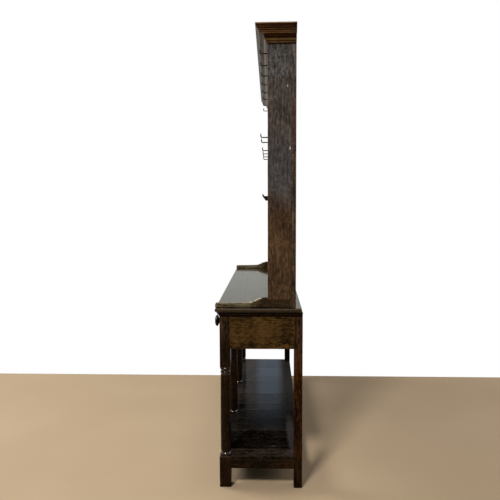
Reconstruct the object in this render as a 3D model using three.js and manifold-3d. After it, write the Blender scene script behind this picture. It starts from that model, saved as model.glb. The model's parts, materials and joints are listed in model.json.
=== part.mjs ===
// A Welsh dresser of dark oak: a base with three drawers over a potboard, and an open plate rack that stands
// on it on two shaped feet. Sizes are in millimetres, with X along the dresser and Z up.
// Inside the group Y is zero on the front faces of the front legs and grows towards the wall.
// The group then moves everything so that the origin lies on the floor under the middle of the dresser's box.

import * as THREE from "three";
import { mergeVertices } from "three/addons/utils/BufferGeometryUtils.js";
import Module from "manifold-3d";

const wasm = await Module();
wasm.setup();

// Overall sizes
const legSpan = 1560; // outer face to outer face of the end legs, and of the rack's sides
const carcassDepth = 374; // front of the front legs to the back of the back legs
const boardHeight = 838; // floor to the top of the dresser board
const overallHeight = 2061;

// Clearances and cuts
const jointGap = 0.2; // left between two pieces of wood that are joined
const slideGap = 1.5; // beside and above a drawer
const runnerGap = 0.3; // between a drawer and the runners that carry it
const cutOverrun = 4; // how far a cutting shape runs past the wood
const mergeDistance = 0.001;

// Legs
const frontLegCount = 4;
const legSquare = 48;
const backLegDepth = 38;
const footBlockDrop = 3; // top of the foot block below the top of the potboard
const topBlockDrop = 88; // underside of the top block below the rails
const shaftRadius = 21.4;
const shaftTopRadius = 19.6;
const beadRadius = 23.4;
const neckRadius = 18.4;
const lowerBeadHeight = 18;
const upperBeadHeight = 14;
const beadGap = 4;
const legFacets = 20;

// Rails of the base
const railHeight = 170; // end rails and back rail
const railThickness = 22;
const railSetback = 1;
const topRailHeight = 20;
const drawerRailHeight = 18;
const lowerRailHeight = 42;

// Dresser board and the moulding under its edge
const boardThickness = 18;
const boardFrontOverhang = 20;
const boardEndOverhang = 14;
const boardBackSetback = 5;
const boardNoseRadius = 8;
const edgeMouldingHeight = 20;
const edgeMouldingProjection = 11;
const edgeMouldingFoot = 2;
const edgeMouldingLip = 6;

// Potboard
const potboardHeight = 148; // floor to its top
const potboardThickness = 16;
const vJointWidth = 4;
const vJointDepth = 2;
const potboardJointShares = [0.05, 0.185, 0.285, 0.36, 0.42, 0.53, 0.73, 0.87];

// Drawers and their runners
const drawerFrontThickness = 20;
const drawerSideThickness = 10;
const drawerSideHeight = 116;
const drawerBottomThickness = 7;
const drawerBottomLift = 8; // underside of the bottom board above the sides' lower edges
const drawerGrooveDepth = 5;
const runnerLedge = 20; // width of the ledge under a drawer's side
const runnerThickness = 18;
const guideHeight = 25;
const drawerBackClearance = 3;

// Turned knobs
const knobReach = 48;
const knobRadius = 28;
const knobHeadThickness = 19;
const knobNeckRadius = 9;
const knobCollarRadius = 13;
const knobCollarThickness = 5;
const knobHeightShare = 0.4; // of the drawer front, from its lower edge
const spigotRadius = 6.5;
const spigotClearance = 0.5;
const knobFacets = 20;

// Plate rack
const rackBackSetback = 31; // back of the base to the back of the rack
const rackSideDepth = 105;
const rackSideThickness = 26;
const backBoardThickness = 20;
const backBoardCount = 7;
const shelfThickness = 20;
const shelfTopShares = [0.73, 0.464, 0.199]; // of the height from the board to the frieze
const housingDepth = 8; // how far a shelf is let into a side
const plateGrooveWidth = 10;
const plateGrooveDepth = 4;
const plateGrooveSetback = 38; // from the back boards
const friezeHeight = 113;
const friezeThickness = 20;
const rackTopThickness = 14;
const rackTopDrop = 4; // the cornice stands above the top board by this much

// Shaped feet of the rack
const footFrontHeight = 17;
const footOgeeHeight = 19;
const footCrestHeight = 46;
const footSeatHeight = 37;
const footFrontOverhang = 14; // in front of the front legs
const footOgeeLength = 80;
const footCrestLength = 14; // between the ogee and the rack's side
const footNoseRadius = 7;

// Cornice
const corniceHeight = 72;
const corniceProjection = 52;
// Its outline from the foot up, as shares of the projection and of the height:
// a bead, a larger bead, a hollow, the fascia, a slope and the top fillet.
const corniceProfileShares = [
  [0, 0],
  [0.08, 0],
  [0.15, 0.028],
  [0.15, 0.064],
  [0.11, 0.09],
  [0.11, 0.144],
  [0.2, 0.153],
  [0.27, 0.185],
  [0.28, 0.215],
  [0.27, 0.249],
  [0.21, 0.278],
  [0.25, 0.306],
  [0.27, 0.361],
  [0.32, 0.412],
  [0.4, 0.451],
  [0.7, 0.455],
  [0.72, 0.639],
  [0.8, 0.71],
  [0.885, 0.808],
  [0.935, 0.889],
  [0.96, 0.93],
  [1, 0.93],
  [1, 1],
  [0, 1],
];

// Iron hooks, at equal places along the rack
const hookPlaces = 8;
const hookSpacingShare = 0.1346; // of the width between the rack's sides
const hookFacets = 6;
const hookStepCount = 8;
const hookEmbed = 6; // length of shank inside the wood
const jugHook = { wire: 5.5, reach: 34, rise: 20, bend: 7 };
const cupHook = { wire: 6, reach: 22, rise: 13, bend: 6 };
const friezeHookLift = 36; // above the lower edge of the frieze

// Derived places
const halfSpan = legSpan / 2;
const carcassTop = boardHeight - boardThickness;
const railBottom = carcassTop - railHeight;
const legShoulderHeight = railBottom - topBlockDrop;
const footBlockHeight = potboardHeight - footBlockDrop;
const legInset = halfSpan - legSquare / 2; // centre of an end leg
const legPitch = (2 * legInset) / (frontLegCount - 1);
const legCentres = Array.from({ length: frontLegCount }, (_, i) => i * legPitch - legInset);
const backLegFront = carcassDepth - backLegDepth;
const innerSpan = halfSpan - legSquare; // inner face of an end leg
const bayWidth = legPitch - legSquare;
const drawerRailTop = railBottom + drawerRailHeight;
const frontLegTop = carcassTop - topRailHeight;
const potboardBottom = potboardHeight - potboardThickness;
const lowerRailBottom = potboardBottom - lowerRailHeight;
const rackBack = carcassDepth - rackBackSetback - backBoardThickness;
const rackFrontSetback = rackBack - rackSideDepth; // front of the base to the front of the rack
const rackTopTop = overallHeight - rackTopDrop;
const rackTopBottom = rackTopTop - rackTopThickness;
const friezeBottom = rackTopBottom - friezeHeight;
const shelfTops = shelfTopShares.map((share) => THREE.MathUtils.lerp(boardHeight, friezeBottom, share));
const rackInner = halfSpan - rackSideThickness;
const hookSpacing = hookSpacingShare * 2 * rackInner;
const frontMost = -knobReach;
const groupShift = -(frontMost + carcassDepth) / 2;

// Finishes
function oak(color, roughness) {
  return new THREE.MeshStandardMaterial({ color, roughness, metalness: 0 });
}
const blackOak = oak(0x1c110a, 0.45);
const brownOak = oak(0x40291a, 0.5);
const boardOak = oak(0x3a2a1e, 0.25);
const potboardOak = oak(0x1a1512, 0.35);
const rackOak = oak(0x463628, 0.55);
const corniceOak = oak(0x33200f, 0.4);
const drawerOak = oak(0x5a4330, 0.7);
const knobWood = oak(0x150e0a, 0.4);

const dresser = new THREE.Group();
dresser.position.set(0, groupShift, 0);

function place(parent, name, geometry, material, position = [0, 0, 0]) {
  const mesh = new THREE.Mesh(geometry, material);
  mesh.name = name;
  mesh.position.set(...position);
  parent.add(mesh);
  return mesh;
}

// A straight piece of wood between two values on each axis.
function timber(parent, name, [x0, x1], [y0, y1], [z0, z1], material) {
  const geometry = new THREE.BoxGeometry(x1 - x0, y1 - y0, z1 - z0);
  const centre = [(x0 + x1) / 2, (y0 + y1) / 2, (z0 + z1) / 2];
  return place(parent, name, geometry, material, centre);
}

// The same box as a bare geometry in place, for cutting and joining.
function block([x0, x1], [y0, y1], [z0, z1]) {
  const geometry = new THREE.BoxGeometry(x1 - x0, y1 - y0, z1 - z0);
  return geometry.translate((x0 + x1) / 2, (y0 + y1) / 2, (z0 + z1) / 2);
}

// A closed geometry as a solid for booleans, and a solid back as a geometry.
function solid(geometry) {
  const bare = geometry.clone();
  bare.deleteAttribute("normal");
  bare.deleteAttribute("uv");
  const merged = mergeVertices(bare, mergeDistance);
  return new wasm.Manifold(
    new wasm.Mesh({
      numProp: 3,
      vertProperties: merged.getAttribute("position").array,
      triVerts: new Uint32Array(merged.getIndex().array),
    }),
  );
}

function geometryOf(manifold) {
  const mesh = manifold.getMesh();
  const geometry = new THREE.BufferGeometry();
  geometry.setAttribute("position", new THREE.BufferAttribute(mesh.vertProperties, mesh.numProp));
  geometry.setIndex(new THREE.BufferAttribute(mesh.triVerts, 1));
  const flat = geometry.toNonIndexed();
  flat.computeVertexNormals();
  return flat;
}

function joined(geometries) {
  return geometryOf(geometries.map(solid).reduce((whole, piece) => whole.add(piece)));
}

function cut(geometry, cutters) {
  return geometryOf(cutters.map(solid).reduce((left, cutter) => left.subtract(cutter), solid(geometry)));
}

function common(geometry, limit) {
  return geometryOf(solid(geometry).intersect(solid(limit)));
}

// A section drawn in Y and Z, run along X and centred on it.
function alongX(shape, length) {
  const geometry = new THREE.ExtrudeGeometry(shape, { depth: length, bevelEnabled: false });
  const axes = new THREE.Matrix4().makeBasis(
    new THREE.Vector3(0, 1, 0),
    new THREE.Vector3(0, 0, 1),
    new THREE.Vector3(1, 0, 0),
  );
  return geometry.applyMatrix4(axes).translate(-length / 2, 0, 0);
}

// A section drawn in X and Z, run along Y between two values.
function alongY(shape, [y0, y1]) {
  const geometry = new THREE.ExtrudeGeometry(shape, { depth: y1 - y0, bevelEnabled: false });
  return geometry.rotateX(Math.PI / 2).translate(0, y1, 0);
}

// A plan drawn in X and Y, raised along Z between two values.
function alongZ(shape, [z0, z1]) {
  const geometry = new THREE.ExtrudeGeometry(shape, { depth: z1 - z0, bevelEnabled: false });
  return geometry.translate(0, 0, z0);
}

function outline(points) {
  return new THREE.Shape(points.map(([x, y]) => new THREE.Vector2(x, y)));
}

// Points of a quarter or half round from one angle to another, ends included.
function arc(centreX, centreY, radius, from, to, facets) {
  return Array.from({ length: facets + 1 }, (_, i) => {
    const angle = THREE.MathUtils.degToRad(from + ((to - from) * i) / facets);
    return [centreX + radius * Math.cos(angle), centreY + radius * Math.sin(angle)];
  });
}

// A turned bead on a leg: its half round from one height to another.
function bead(bottom, height, base, crown) {
  const beadFacets = 4;
  return Array.from({ length: beadFacets + 1 }, (_, i) => {
    const share = i / beadFacets;
    return [base + (crown - base) * Math.sin(Math.PI * share), bottom + height * share];
  });
}

// Front legs: a square block for the drawer rails, a turned column between beads, and a square foot.
function turnedColumn() {
  const lowerBeadTop = footBlockHeight + lowerBeadHeight;
  const upperBeadBottom = legShoulderHeight - upperBeadHeight;
  const secondBeadBottom = upperBeadBottom - beadGap - upperBeadHeight;
  const shaftBottom = lowerBeadTop + beadGap;
  const shaftTop = secondBeadBottom - beadGap;
  const swellShares = [0, 0.3, 0.65, 1];
  const shaft = swellShares.map((share) => [
    THREE.MathUtils.lerp(shaftRadius, shaftTopRadius, share * share),
    THREE.MathUtils.lerp(shaftBottom, shaftTop, share),
  ]);
  const profile = [
    [0, footBlockHeight - cutOverrun],
    [neckRadius, footBlockHeight - cutOverrun],
    ...bead(footBlockHeight, lowerBeadHeight, neckRadius, beadRadius),
    ...shaft,
    ...bead(secondBeadBottom, upperBeadHeight, neckRadius, beadRadius - (shaftRadius - shaftTopRadius)),
    ...bead(upperBeadBottom, upperBeadHeight, neckRadius, beadRadius),
    [neckRadius, legShoulderHeight + cutOverrun],
    [0, legShoulderHeight + cutOverrun],
  ];
  const points = profile.map(([radius, height]) => new THREE.Vector2(radius, height));
  return new THREE.LatheGeometry(points, legFacets).rotateX(Math.PI / 2);
}

function frontLegs() {
  const half = legSquare / 2;
  const section = [-half, half];
  const foot = block(section, section, [0, footBlockHeight]);
  const top = block(section, section, [legShoulderHeight, frontLegTop - jointGap]);
  const geometry = joined([foot, turnedColumn(), top]);
  legCentres.forEach((x, i) => {
    place(dresser, `front_leg_${i + 1}`, geometry.clone(), blackOak, [x, half, 0]);
  });
}

// Back legs: plain square posts from the floor to the board.
function backLegs() {
  for (const [side, sign] of [["left", -1], ["right", 1]]) {
    const outer = sign * halfSpan;
    const inner = sign * innerSpan;
    const across = [Math.min(outer, inner), Math.max(outer, inner)];
    const along = [backLegFront, carcassDepth];
    timber(dresser, `back_leg_${side}`, across, along, [0, carcassTop - jointGap], brownOak);
  }
}

// A rail at each end, between the front leg and the back leg.
function endRails(prefix, [z0, z1], material) {
  for (const [side, sign] of [["left", -1], ["right", 1]]) {
    const outer = sign * (halfSpan - railSetback);
    const inner = sign * (halfSpan - railSetback - railThickness);
    const across = [Math.min(outer, inner), Math.max(outer, inner)];
    const along = [legSquare + jointGap, backLegFront - jointGap];
    timber(dresser, `${prefix}_${side}`, across, along, [z0, z1], material);
  }
}

// A rail between the two back legs.
function backRail(name, [z0, z1]) {
  const along = [carcassDepth - railSetback - railThickness, carcassDepth - railSetback];
  timber(dresser, name, [jointGap - innerSpan, innerSpan - jointGap], along, [z0, z1], brownOak);
}

// Short rails between neighbouring front legs.
function frontRails(prefix, depth, [z0, z1]) {
  legCentres.slice(1).forEach((x, i) => {
    const right = x - legSquare / 2 - jointGap;
    const left = right - bayWidth + 2 * jointGap;
    const along = [railSetback, railSetback + depth];
    timber(dresser, `${prefix}_${i + 1}`, [left, right], along, [z0, z1], brownOak);
  });
}

function baseRails() {
  const underBoard = carcassTop - jointGap;
  endRails("end_rail", [railBottom, underBoard], brownOak);
  endRails("lower_end_rail", [lowerRailBottom, potboardBottom - jointGap], blackOak);
  backRail("back_rail", [railBottom, underBoard]);
  backRail("lower_back_rail", [lowerRailBottom, potboardBottom - jointGap]);
  frontRails("drawer_rail", legSquare - railSetback, [railBottom, drawerRailTop]);
  frontRails("lower_front_rail", railThickness, [lowerRailBottom, potboardBottom - jointGap]);
  const overLegs = [frontLegTop, underBoard];
  timber(dresser, "top_rail", [-halfSpan, halfSpan], [0, legSquare], overLegs, blackOak);
}

// Runners: a ledge under each drawer side, with a guide between drawers or beside the end rail.
function drawerRunners() {
  const ledgeTop = drawerRailTop;
  const ledgeBottom = ledgeTop - runnerThickness;
  const guideTop = ledgeTop + guideHeight;
  const last = frontLegCount - 1;
  legCentres.forEach((x, i) => {
    const half = legSquare / 2;
    const atEndRail = halfSpan - railSetback - railThickness - jointGap;
    const guideLeft = i === 0 ? -atEndRail : x - half;
    const guideRight = i === last ? atEndRail : x + half;
    const ledgeLeft = i === 0 ? -atEndRail : x - half - runnerLedge;
    const ledgeRight = i === last ? atEndRail : x + half + runnerLedge;
    const section = [
      [ledgeLeft, ledgeBottom],
      [ledgeRight, ledgeBottom],
      [ledgeRight, ledgeTop],
      [guideRight, ledgeTop],
      [guideRight, guideTop],
      [guideLeft, guideTop],
      [guideLeft, ledgeTop],
      [ledgeLeft, ledgeTop],
    ].filter(([px, pz], k, all) => k === 0 || px !== all[k - 1][0] || pz !== all[k - 1][1]);
    const isEnd = i === 0 || i === last;
    const backFace = isEnd ? backLegFront : carcassDepth - railSetback - railThickness;
    const run = [legSquare + jointGap, backFace - jointGap];
    place(dresser, `drawer_runner_${i + 1}`, alongY(outline(section), run), drawerOak);
  });
}

// Potboard: tongued boards that run from front to back, notched round the legs, with open V joints on top.
function potboardPlan() {
  const edge = halfSpan - railSetback;
  const front = railSetback;
  const back = carcassDepth - railSetback;
  const frontNotch = legSquare + jointGap;
  const backNotch = backLegFront - jointGap;
  const legEdge = legSquare / 2 + jointGap;
  const backInner = innerSpan - jointGap;
  const points = [[-edge, frontNotch]];
  legCentres.forEach((x, i) => {
    if (i > 0) points.push([x - legEdge, front], [x - legEdge, frontNotch]);
    if (i < frontLegCount - 1) points.push([x + legEdge, frontNotch], [x + legEdge, front]);
  });
  points.push([edge, frontNotch], [edge, backNotch], [backInner, backNotch], [backInner, back]);
  points.push([-backInner, back], [-backInner, backNotch], [-edge, backNotch]);
  return outline(points);
}

function potboard() {
  const board = alongZ(potboardPlan(), [potboardBottom, potboardHeight]);
  const joints = potboardJointShares.map((share) => {
    const x = halfSpan - share * legSpan;
    const section = outline([
      [x, potboardHeight - vJointDepth],
      [x + vJointWidth, potboardHeight + vJointDepth],
      [x - vJointWidth, potboardHeight + vJointDepth],
    ]);
    return alongY(section, [-cutOverrun, carcassDepth + cutOverrun]);
  });
  place(dresser, "potboard", cut(board, joints), potboardOak);
}

// Dresser board with a rounded front edge.
function dresserBoard() {
  const front = -boardFrontOverhang;
  const back = carcassDepth - boardBackSetback;
  const radius = boardNoseRadius;
  const noseFacets = 4;
  const section = outline([
    [back, carcassTop],
    [back, boardHeight],
    ...arc(front + radius, boardHeight - radius, radius, 90, 180, noseFacets),
    ...arc(front + radius, carcassTop + radius, radius, 180, 270, noseFacets),
  ]);
  const length = legSpan + 2 * boardEndOverhang;
  place(dresser, "dresser_board", alongX(section, length), boardOak);
}

// A moulding that goes round the front and both ends, cut at the corners with mitres.
// Its profile is a list of points, outwards from the wood and up from the moulding's foot.
function mitredMoulding(prefix, profile, { front, back, bottom, height, projection }, material) {
  const reach = projection + cutOverrun;
  const levels = [bottom - cutOverrun, bottom + height + cutOverrun];
  const frontProfile = outline(profile.map(([out, up]) => [front - jointGap - out, bottom + up]));
  const frontPlan = outline([
    [-halfSpan, front],
    [-halfSpan - reach, front - reach],
    [halfSpan + reach, front - reach],
    [halfSpan, front],
  ]);
  const frontRun = alongX(frontProfile, legSpan + 2 * reach);
  place(dresser, `${prefix}_front`, common(frontRun, alongZ(frontPlan, levels)), material);
  for (const [side, sign] of [["left", -1], ["right", 1]]) {
    const endProfile = outline(profile.map(([out, up]) => [sign * (halfSpan + jointGap + out), bottom + up]));
    const endPlan = outline([
      [sign * halfSpan, front + jointGap],
      [sign * (halfSpan + reach), front + jointGap - reach],
      [sign * (halfSpan + reach), back],
      [sign * halfSpan, back],
    ]);
    const endRun = alongY(endProfile, [front - reach, back]);
    place(dresser, `${prefix}_${side}`, common(endRun, alongZ(endPlan, levels)), material);
  }
}

function edgeMoulding() {
  const height = edgeMouldingHeight - jointGap;
  const projection = edgeMouldingProjection;
  const roundHeight = height - edgeMouldingLip - edgeMouldingFoot;
  const roundReach = projection - edgeMouldingFoot;
  const roundFacets = 5;
  const round = Array.from({ length: roundFacets + 1 }, (_, i) => {
    const angle = (Math.PI / 2) * (i / roundFacets);
    const out = edgeMouldingFoot + roundReach * (1 - Math.cos(angle));
    return [out, edgeMouldingFoot + roundHeight * Math.sin(angle)];
  });
  const profile = [[0, 0], [edgeMouldingFoot, 0], ...round, [projection, height], [0, height]];
  const bottom = carcassTop - edgeMouldingHeight;
  const span = { front: 0, back: carcassDepth, bottom, height, projection };
  mitredMoulding("edge_moulding", profile, span, brownOak);
}

// One drawer in its own group: X is zero at its middle, Y at its face and Z on the runners' tops.
function drawer(number, x) {
  const group = new THREE.Group();
  group.position.set(x, 0, drawerRailTop);
  dresser.add(group);
  const name = (piece) => `drawer_${number}_${piece}`;
  const half = bayWidth / 2 - slideGap;
  const inner = half - drawerSideThickness;
  const frontBack = drawerFrontThickness;
  const back = backLegFront - drawerBackClearance;
  const backFront = back - drawerSideThickness;
  const bottomTop = runnerGap + drawerBottomLift + drawerBottomThickness;
  const bottomBottom = runnerGap + drawerBottomLift;
  const frontTop = frontLegTop - drawerRailTop - slideGap;
  const grooveLevels = [bottomBottom - jointGap, bottomTop + jointGap];
  const grooveReach = inner + drawerGrooveDepth;
  const knobHeight = THREE.MathUtils.lerp(runnerGap, frontTop, knobHeightShare);

  const face = block([-half, half], [0, frontBack], [runnerGap, frontTop]);
  const faceGroove = block(
    [-grooveReach, grooveReach],
    [frontBack - drawerGrooveDepth, frontBack + cutOverrun],
    grooveLevels,
  );
  const hole = new THREE.CylinderGeometry(
    spigotRadius + spigotClearance,
    spigotRadius + spigotClearance,
    frontBack + 2 * cutOverrun,
    knobFacets,
  ).translate(0, frontBack / 2, knobHeight);
  place(group, name("front"), cut(face, [faceGroove, hole]), brownOak);

  for (const [side, sign] of [["left", -1], ["right", 1]]) {
    const across = [Math.min(sign * half, sign * inner), Math.max(sign * half, sign * inner)];
    const along = [frontBack + jointGap, back];
    const board = block(across, along, [runnerGap, runnerGap + drawerSideHeight]);
    const groove = block(
      [-grooveReach, grooveReach],
      [frontBack - cutOverrun, back + cutOverrun],
      grooveLevels,
    );
    place(group, name(`side_${side}`), cut(board, [groove]), drawerOak);
  }

  const backLevels = [bottomTop + jointGap, runnerGap + drawerSideHeight];
  const between = [jointGap - inner, inner - jointGap];
  timber(group, name("back"), between, [backFront, back], backLevels, drawerOak);

  const panel = grooveReach - jointGap;
  const panelRun = [frontBack - drawerGrooveDepth + jointGap, back];
  timber(group, name("bottom"), [-panel, panel], panelRun, [bottomBottom, bottomTop], drawerOak);

  place(group, name("knob"), knob(), knobWood, [0, 0, knobHeight]);
}

// A mushroom knob turned with its spigot, drawn outwards from the drawer's face.
function knob() {
  const neckEnd = knobReach - knobHeadThickness;
  const crownFacets = 5;
  const edgeShare = 0.45;
  const rim = neckEnd + knobHeadThickness * edgeShare;
  const crown = Array.from({ length: crownFacets }, (_, i) => {
    const angle = (Math.PI / 2) * ((i + 1) / (crownFacets + 1));
    return [knobRadius * Math.cos(angle), rim + (knobReach - rim) * Math.sin(angle)];
  });
  const profile = [
    [0, -drawerFrontThickness],
    [spigotRadius, -drawerFrontThickness],
    [spigotRadius, jointGap],
    [knobCollarRadius, jointGap],
    [knobCollarRadius, knobCollarThickness],
    [knobNeckRadius, knobCollarThickness + knobNeckRadius / 2],
    [knobNeckRadius, neckEnd - knobNeckRadius / 2],
    [knobRadius - knobHeadThickness * edgeShare, neckEnd],
    [knobRadius, rim],
    ...crown,
    [0, knobReach],
  ];
  const points = profile.map(([radius, out]) => new THREE.Vector2(radius, out));
  return new THREE.LatheGeometry(points, knobFacets).rotateZ(Math.PI);
}

// Shaped feet of the rack: low in front, rising by an ogee to the seat of the side.
function rackFeet() {
  const front = -footFrontOverhang;
  const radius = footNoseRadius;
  const noseFacets = 3;
  const ogeeFacets = 8;
  const ogeeEnd = rackFrontSetback - footCrestLength;
  const ogee = Array.from({ length: ogeeFacets + 1 }, (_, i) => {
    const share = i / ogeeFacets;
    const rise = (1 - Math.cos(Math.PI * share)) / 2;
    return [ogeeEnd - footOgeeLength * (1 - share), THREE.MathUtils.lerp(footOgeeHeight, footCrestHeight, rise)];
  });
  const section = outline([
    [front, jointGap],
    ...arc(front + radius, footFrontHeight - radius, radius, 180, 90, noseFacets),
    ...ogee,
    [rackFrontSetback - jointGap, footCrestHeight],
    [rackFrontSetback - jointGap, footSeatHeight],
    [rackBack, footSeatHeight],
    [rackBack, jointGap],
  ]);
  const centre = halfSpan - rackSideThickness / 2;
  for (const [side, sign] of [["left", -1], ["right", 1]]) {
    const position = [sign * centre, 0, boardHeight];
    place(dresser, `rack_foot_${side}`, alongX(section, rackSideThickness), rackOak, position);
  }
}

// Rack sides, housed for the shelves on their inner faces.
function rackSides() {
  const levels = [boardHeight + footSeatHeight + jointGap, rackTopBottom - jointGap];
  const housings = shelfTops.map((top) =>
    block(
      [-rackInner - housingDepth, rackInner + housingDepth],
      [rackFrontSetback - cutOverrun, rackBack + cutOverrun],
      [top - shelfThickness - jointGap, top + jointGap],
    ),
  );
  for (const [side, sign] of [["left", -1], ["right", 1]]) {
    const across = [Math.min(sign * halfSpan, sign * rackInner), Math.max(sign * halfSpan, sign * rackInner)];
    const board = block(across, [rackFrontSetback, rackBack], levels);
    place(dresser, `rack_side_${side}`, cut(board, housings), rackOak);
  }
}

// An iron hook: its shank comes out of the wood towards the front and turns up.
function hook({ wire, reach, rise, bend }, x, z) {
  const section = outline(arc(0, 0, wire / 2, 0, 360, hookFacets).slice(1));
  const path = new THREE.CatmullRomCurve3([
    new THREE.Vector3(x, rackFrontSetback + hookEmbed, z),
    new THREE.Vector3(x, rackFrontSetback - (reach - bend) / 2, z),
    new THREE.Vector3(x, rackFrontSetback - (reach - bend), z),
    new THREE.Vector3(x, rackFrontSetback - reach, z + bend),
    new THREE.Vector3(x, rackFrontSetback - reach, z + rise),
  ]);
  return new THREE.ExtrudeGeometry(section, { steps: hookStepCount, extrudePath: path, bevelEnabled: false });
}

// Hooks at some of the equal places, counted from the left end of the rack.
function hookRow(kind, places, z) {
  return places.map((number) => hook(kind, (number - (hookPlaces - 1) / 2) * hookSpacing, z));
}

const everyPlace = Array.from({ length: hookPlaces }, (_, i) => i);
const topShelfPlaces = [0, 1, 2, 3, 5, 6];
const shelfHooks = [
  { kind: jugHook, places: topShelfPlaces },
  { kind: cupHook, places: everyPlace },
  { kind: cupHook, places: [] },
];

// Shelves with a groove that stops the plates, let into the sides, with their hooks driven into the front edge.
function rackShelves() {
  const half = rackInner + housingDepth - jointGap;
  const groove = rackBack - plateGrooveSetback;
  shelfTops.forEach((top, i) => {
    const board = block([-half, half], [rackFrontSetback, rackBack], [top - shelfThickness, top]);
    const grooveSection = outline([
      [groove, top - plateGrooveDepth],
      [groove + plateGrooveWidth, top + plateGrooveDepth],
      [groove - plateGrooveWidth, top + plateGrooveDepth],
    ]);
    const grooved = cut(board, [alongX(grooveSection, 2 * rackInner)]);
    const { kind, places } = shelfHooks[i];
    const hooks = hookRow(kind, places, top - shelfThickness / 2);
    place(dresser, `rack_shelf_${i + 1}`, joined([grooved, ...hooks]), rackOak);
  });
}

function frieze() {
  const levels = [friezeBottom, rackTopBottom - jointGap];
  const across = [jointGap - rackInner, rackInner - jointGap];
  const board = block(across, [rackFrontSetback, rackFrontSetback + friezeThickness], levels);
  const hooks = hookRow(jugHook, everyPlace, friezeBottom + friezeHookLift);
  place(dresser, "frieze", joined([board, ...hooks]), rackOak);
}

function rackTop() {
  const along = [rackFrontSetback, rackBack + backBoardThickness];
  timber(dresser, "rack_top", [-halfSpan, halfSpan], along, [rackTopBottom, rackTopTop], rackOak);
}

// Upright back boards, tongued together, with a V joint on the face that shows between the shelves.
function backBoards() {
  const front = rackBack + jointGap;
  const levels = [boardHeight + jointGap, rackTopBottom - jointGap];
  const panel = block([-halfSpan, halfSpan], [front, rackBack + backBoardThickness], levels);
  const joints = Array.from({ length: backBoardCount - 1 }, (_, i) => {
    const x = ((i + 1) * legSpan) / backBoardCount - halfSpan;
    const section = outline([
      [x, front + vJointDepth],
      [x - vJointWidth, front - vJointDepth],
      [x + vJointWidth, front - vJointDepth],
    ]);
    return alongZ(section, [boardHeight - cutOverrun, rackTopTop]);
  });
  place(dresser, "rack_back_boards", cut(panel, joints), rackOak);
}

// Cornice: two beads under a hollow, and a fascia that slopes out to a fillet at the top.
function cornice() {
  const height = corniceHeight;
  const projection = corniceProjection;
  const bottom = overallHeight - height;
  const profile = corniceProfileShares.map(([outShare, upShare]) => [projection * outShare, height * upShare]);
  const span = {
    front: rackFrontSetback,
    back: rackBack + backBoardThickness,
    bottom,
    height,
    projection,
  };
  mitredMoulding("cornice", profile, span, corniceOak);
}

frontLegs();
backLegs();
baseRails();
drawerRunners();
potboard();
dresserBoard();
edgeMoulding();
legCentres.slice(1).forEach((x, i) => drawer(i + 1, x - legPitch / 2));
rackFeet();
rackSides();
rackShelves();
frieze();
rackTop();
backBoards();
cornice();

export default dresser;
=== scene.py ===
# %% [markdown]
# # A Welsh dresser of dark oak
# The dresser has a base with three drawers over a potboard, and an open plate rack that stands on it on two
# shaped feet. The cells load the plain solids first, and then dress them one group at a time: the place of
# the camera, the floor and the light, the finishes of the old oak, and the finer pieces of wood and iron.

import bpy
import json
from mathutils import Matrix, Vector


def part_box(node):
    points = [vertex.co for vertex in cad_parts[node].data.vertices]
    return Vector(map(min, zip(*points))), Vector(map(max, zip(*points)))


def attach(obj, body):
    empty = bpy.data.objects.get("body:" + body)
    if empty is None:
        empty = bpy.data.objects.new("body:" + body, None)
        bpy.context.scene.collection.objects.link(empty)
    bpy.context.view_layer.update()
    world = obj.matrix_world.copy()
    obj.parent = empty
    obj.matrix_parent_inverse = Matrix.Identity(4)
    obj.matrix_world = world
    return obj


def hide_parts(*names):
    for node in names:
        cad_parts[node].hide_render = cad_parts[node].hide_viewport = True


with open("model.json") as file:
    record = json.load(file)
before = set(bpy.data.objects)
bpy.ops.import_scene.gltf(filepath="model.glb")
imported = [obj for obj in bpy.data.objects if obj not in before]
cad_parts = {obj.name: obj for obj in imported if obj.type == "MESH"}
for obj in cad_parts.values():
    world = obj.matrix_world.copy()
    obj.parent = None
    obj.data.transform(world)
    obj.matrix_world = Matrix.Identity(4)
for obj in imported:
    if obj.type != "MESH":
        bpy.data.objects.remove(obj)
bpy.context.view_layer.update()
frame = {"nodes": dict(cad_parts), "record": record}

# %% Tools that every cell uses
import json
import math
import random

import bmesh
import bpy
from mathutils import Matrix, Vector

# %% [markdown]
# ## Camera
# The dresser is seen from its right end, from a little above the board, with a lens a bit wider than the eye.
# A camera could be aimed with a Track To constraint, but the angles are known, so they are written straight
# into its matrix: the camera looks along -X, turned slightly to the front, tipped down and hardly rolled.

# %% Place the camera
EYE = Vector((3.1239, 0.0643, 1.2909))
TURN = 0.0376
TIP = -0.082
ROLL = -0.004
LENS = 38.16
SENSOR = 36


def camera_axes():
    turned = Matrix.Rotation(TURN, 3, "Z")
    ahead = turned @ Vector((-1, 0, 0))
    right = turned @ Vector((0, 1, 0))
    up = Vector((0, 0, 1))
    ahead, up = ahead * math.cos(TIP) + up * math.sin(TIP), up * math.cos(TIP) - ahead * math.sin(TIP)
    right, up = right * math.cos(ROLL) + up * math.sin(ROLL), up * math.cos(ROLL) - right * math.sin(ROLL)
    return right, up, -ahead


camera = bpy.data.objects.new("camera", bpy.data.cameras.new("camera"))
bpy.context.collection.objects.link(camera)
camera.data.lens = LENS
camera.data.sensor_width = SENSOR
camera.matrix_world = Matrix.Translation(EYE) @ Matrix(camera_axes()).transposed().to_4x4()
bpy.context.scene.camera = camera
bpy.context.scene.view_settings.view_transform = "Standard"
print("camera", [round(v, 3) for v in camera.location], "lens", LENS)

# %% [markdown]
# ## Shader maths
# A finish is a tree of nodes, and most of them only add, multiply or compare numbers. Placing each Math node by
# hand makes long cells that are hard to read. So a small class wraps a socket and turns + - and * into
# Math nodes, and one method adds any other node from its type, its settings and the values of its sockets.

# %% A socket that can be reckoned with


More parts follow.
